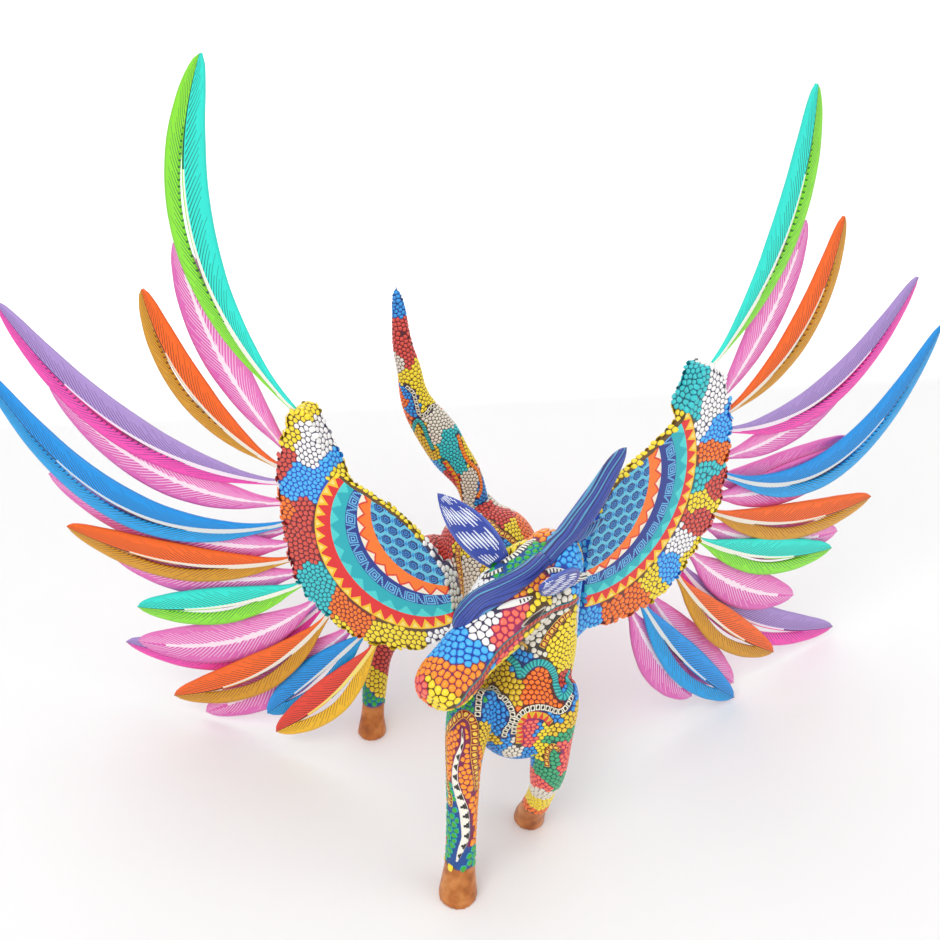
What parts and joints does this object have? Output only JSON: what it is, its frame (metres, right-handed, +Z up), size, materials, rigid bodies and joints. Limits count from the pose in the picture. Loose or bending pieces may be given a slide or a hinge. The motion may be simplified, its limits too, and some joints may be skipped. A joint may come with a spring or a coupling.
{
  "type": "winged horse folk-art figure",
  "caption": "Carved and painted wooden winged horse that stands on its four hooves, with plug-in wings of separate feathers, plug-in ears and a plug-in tail.",
  "frame": {"origin": "centre of the overall box in plan, on the ground under the hooves", "axes": "+Z up, -Y the way the horse walks, +X towards the horse's own left wing"},
  "size_m": [0.7218, 0.287, 0.4967],
  "materials": {
    "dotted_paint": "satin acrylic paint in small raised dots over a dark ground, over carved wood",
    "hair_paint": "satin blue acrylic paint with light blue strokes over carved wood",
    "ear_paint": "satin blue acrylic paint with white strokes over carved wood",
    "wing_paint": "satin acrylic paint in bands, frets and dots over carved wood",
    "feather_turquoise_lime": "satin paint, turquoise one side and lime the other, dark barb strokes",
    "feather_pink": "satin pink paint with white barb strokes",
    "feather_orange": "satin paint, red-orange one side and amber the other, dark barb strokes",
    "feather_lavender_magenta": "satin paint, lavender one side and magenta the other, dark barb strokes",
    "feather_blue": "satin blue paint with dark barb strokes",
    "bare_wood": "unfinished wood"
  },
  "bodies": {
    "figure": {"body": "dotted_paint", "head": "dotted_paint", "forelock": "hair_paint", "mane": "hair_paint", "leg_front_right": "dotted_paint", "leg_front_left": "dotted_paint", "leg_hind_right": "dotted_paint", "leg_hind_left": "dotted_paint", "dowel_leg_front_right": "bare_wood", "dowel_leg_front_left": "bare_wood", "dowel_leg_hind_right": "bare_wood", "dowel_leg_hind_left": "bare_wood", "dowel_neck": "bare_wood"},
    "wing_left": {"wing_left": "wing_paint", "feather_left_01": "feather_turquoise_lime", "feather_left_02": "feather_pink", "feather_left_03": "feather_orange", "feather_left_04": "feather_lavender_magenta", "feather_left_05": "feather_pink", "feather_left_06": "feather_blue", "feather_left_07": "feather_pink", "feather_left_08": "feather_pink", "feather_left_09": "feather_orange", "feather_left_10": "feather_pink", "feather_left_11": "feather_turquoise_lime", "feather_left_12": "feather_pink", "feather_left_13": "feather_lavender_magenta", "feather_left_14": "feather_orange", "feather_left_15": "feather_pink", "feather_left_16": "feather_blue", "feather_left_17": "feather_pink"},
    "wing_right": {"wing_right": "wing_paint", "feather_right_01": "feather_turquoise_lime", "feather_right_02": "feather_pink", "feather_right_03": "feather_orange", "feather_right_04": "feather_lavender_magenta", "feather_right_05": "feather_pink", "feather_right_06": "feather_blue", "feather_right_07": "feather_pink", "feather_right_08": "feather_pink", "feather_right_09": "feather_orange", "feather_right_10": "feather_pink", "feather_right_11": "feather_turquoise_lime", "feather_right_12": "feather_pink", "feather_right_13": "feather_lavender_magenta", "feather_right_14": "feather_orange", "feather_right_15": "feather_pink", "feather_right_16": "feather_blue", "feather_right_17": "feather_orange"},
    "tail": {"tail": "dotted_paint"},
    "ear_left": {"ear_left": "ear_paint"},
    "ear_right": {"ear_right": "ear_paint"}
  },
  "joints": [
    {"name": "wing_left_pull", "type": "slide", "parent": "figure", "child": "wing_left", "axis": [0.8652, 0.5015, 0], "range_m": [0, 0.04]},
    {"name": "wing_right_pull", "type": "slide", "parent": "figure", "child": "wing_right", "axis": [-0.8652, 0.5015, 0], "range_m": [0, 0.04]},
    {"name": "tail_pull", "type": "slide", "parent": "figure", "child": "tail", "axis": [-0.2343, 0, 0.9722], "range_m": [0, 0.035]},
    {"name": "ear_left_pull", "type": "slide", "parent": "figure", "child": "ear_left", "axis": [-0.5828, -0.7199, 0.3771], "range_m": [0, 0.018]},
    {"name": "ear_right_pull", "type": "slide", "parent": "figure", "child": "ear_right", "axis": [-0.6299, 0.2261, 0.743], "range_m": [0, 0.018]}
  ]
}
